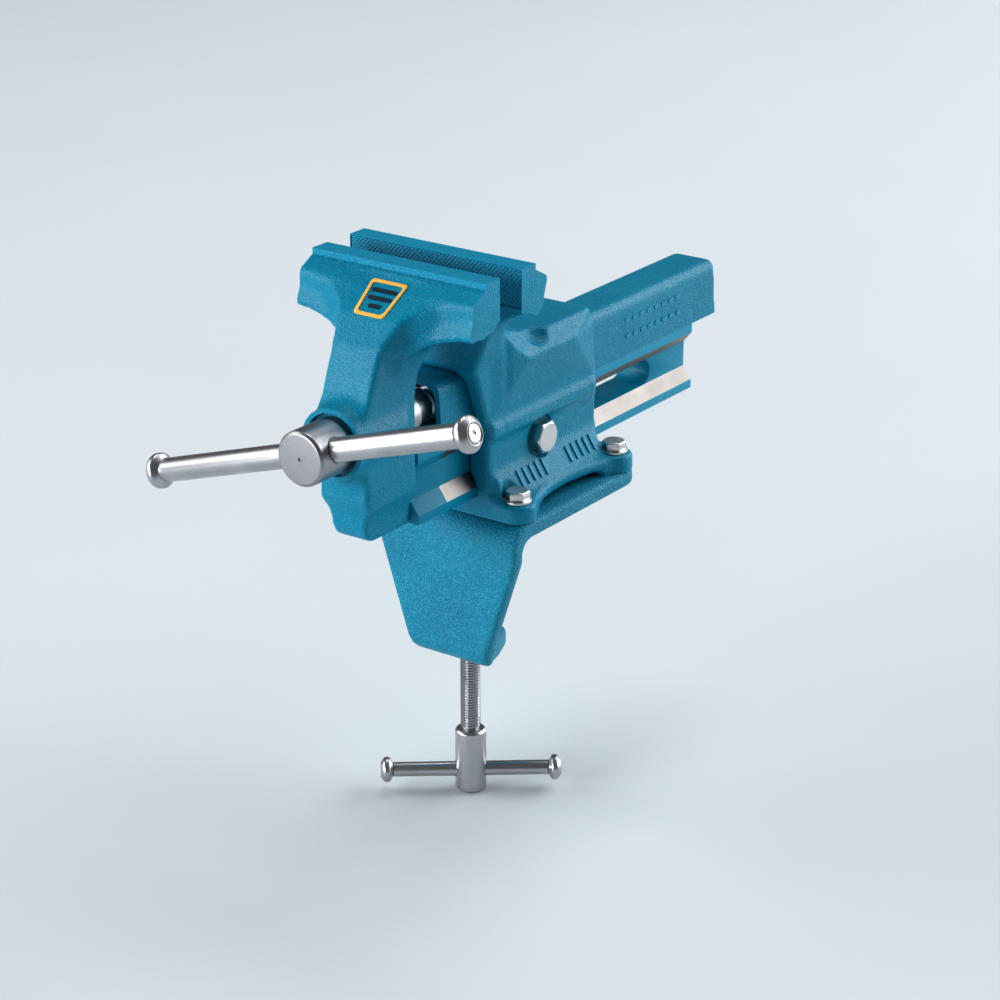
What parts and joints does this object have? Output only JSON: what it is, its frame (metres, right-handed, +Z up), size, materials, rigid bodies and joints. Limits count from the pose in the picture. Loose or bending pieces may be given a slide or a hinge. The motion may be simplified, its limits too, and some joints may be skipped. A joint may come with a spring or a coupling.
{
  "type": "clamp-on bench vise",
  "caption": "Forged bench vise with a prism slide and screw spindle, bolted to a C-shaped table clamp with a swivel pressure pad.",
  "frame": {"origin": "on the clamp's bench face, in the plane of symmetry, midway between the four base bolts", "axes": "+Z up away from the bench, +Y to the rear of the vise along the slide, +X to the right seen from the handle"},
  "size_m": [0.2298, 0.4003, 0.349],
  "materials": {
    "teal_paint": "satin, fine textured",
    "border_paint": "satin",
    "ground_steel": "ground",
    "bright_steel": "turned satin",
    "zinc_plate": "bright zinc",
    "dark_steel": "oiled"
  },
  "bodies": {
    "fixed": {"clamp_frame": "teal_paint", "vise_body": "teal_paint", "base_bolts": "zinc_plate", "base_washers": "zinc_plate", "adjusting_bolt": "zinc_plate", "adjusting_nut": "zinc_plate", "spindle_nut": "dark_steel"},
    "slide": {"moving_jaw": "teal_paint", "slide_rail": "ground_steel", "spindle_cover": "teal_paint", "badge_frame": "border_paint"},
    "spindle": {"main_spindle": "dark_steel", "thrust_collar": "bright_steel", "collar_pin": "dark_steel", "spindle_head": "bright_steel"},
    "main_handle": {"handle_bar": "bright_steel", "handle_knob_left": "bright_steel", "handle_knob_right": "bright_steel"},
    "clamp_pad": {"pressure_pad": "zinc_plate"},
    "clamp_spindle": {"clamp_screw": "zinc_plate", "clamp_hub": "bright_steel"},
    "clamp_handle": {"clamp_handle_bar": "bright_steel", "clamp_knob_left": "bright_steel", "clamp_knob_right": "bright_steel"}
  },
  "joints": [
    {"name": "jaw_slide", "type": "slide", "parent": "fixed", "child": "slide", "axis": [0, -1, 0], "range_m": [-0.0202, 0.129]},
    {"name": "spindle_turn", "type": "hinge", "parent": "slide", "child": "spindle", "pos_m": [0, -0.17, 0.0843], "axis": [0, -1, 0], "range_deg": [-1816, 11609]},
    {"name": "handle_slide", "type": "slide", "parent": "spindle", "child": "main_handle", "axis": [0.9537, 0, 0.3007], "range_m": [-0.0855, 0.098]},
    {"name": "pad_lift", "type": "slide", "parent": "fixed", "child": "clamp_pad", "axis": [0, 0, 1], "range_m": [-0.018, 0.03]},
    {"name": "clamp_screw_turn", "type": "hinge", "parent": "clamp_pad", "child": "clamp_spindle", "pos_m": [0, -0.0454, -0.1], "axis": [0, 0, 1], "range_deg": [-3702, 6171]},
    {"name": "clamp_handle_slide", "type": "slide", "parent": "clamp_spindle", "child": "clamp_handle", "axis": [0.7944, 0.6074, 0], "range_m": [-0.037, 0.037]}
  ],
  "couplings": [
    {"joint": "jaw_slide", "follows": "spindle_turn", "m_per_rad": 0.00063662},
    {"joint": "pad_lift", "follows": "clamp_screw_turn", "m_per_rad": 0.00027852}
  ]
}
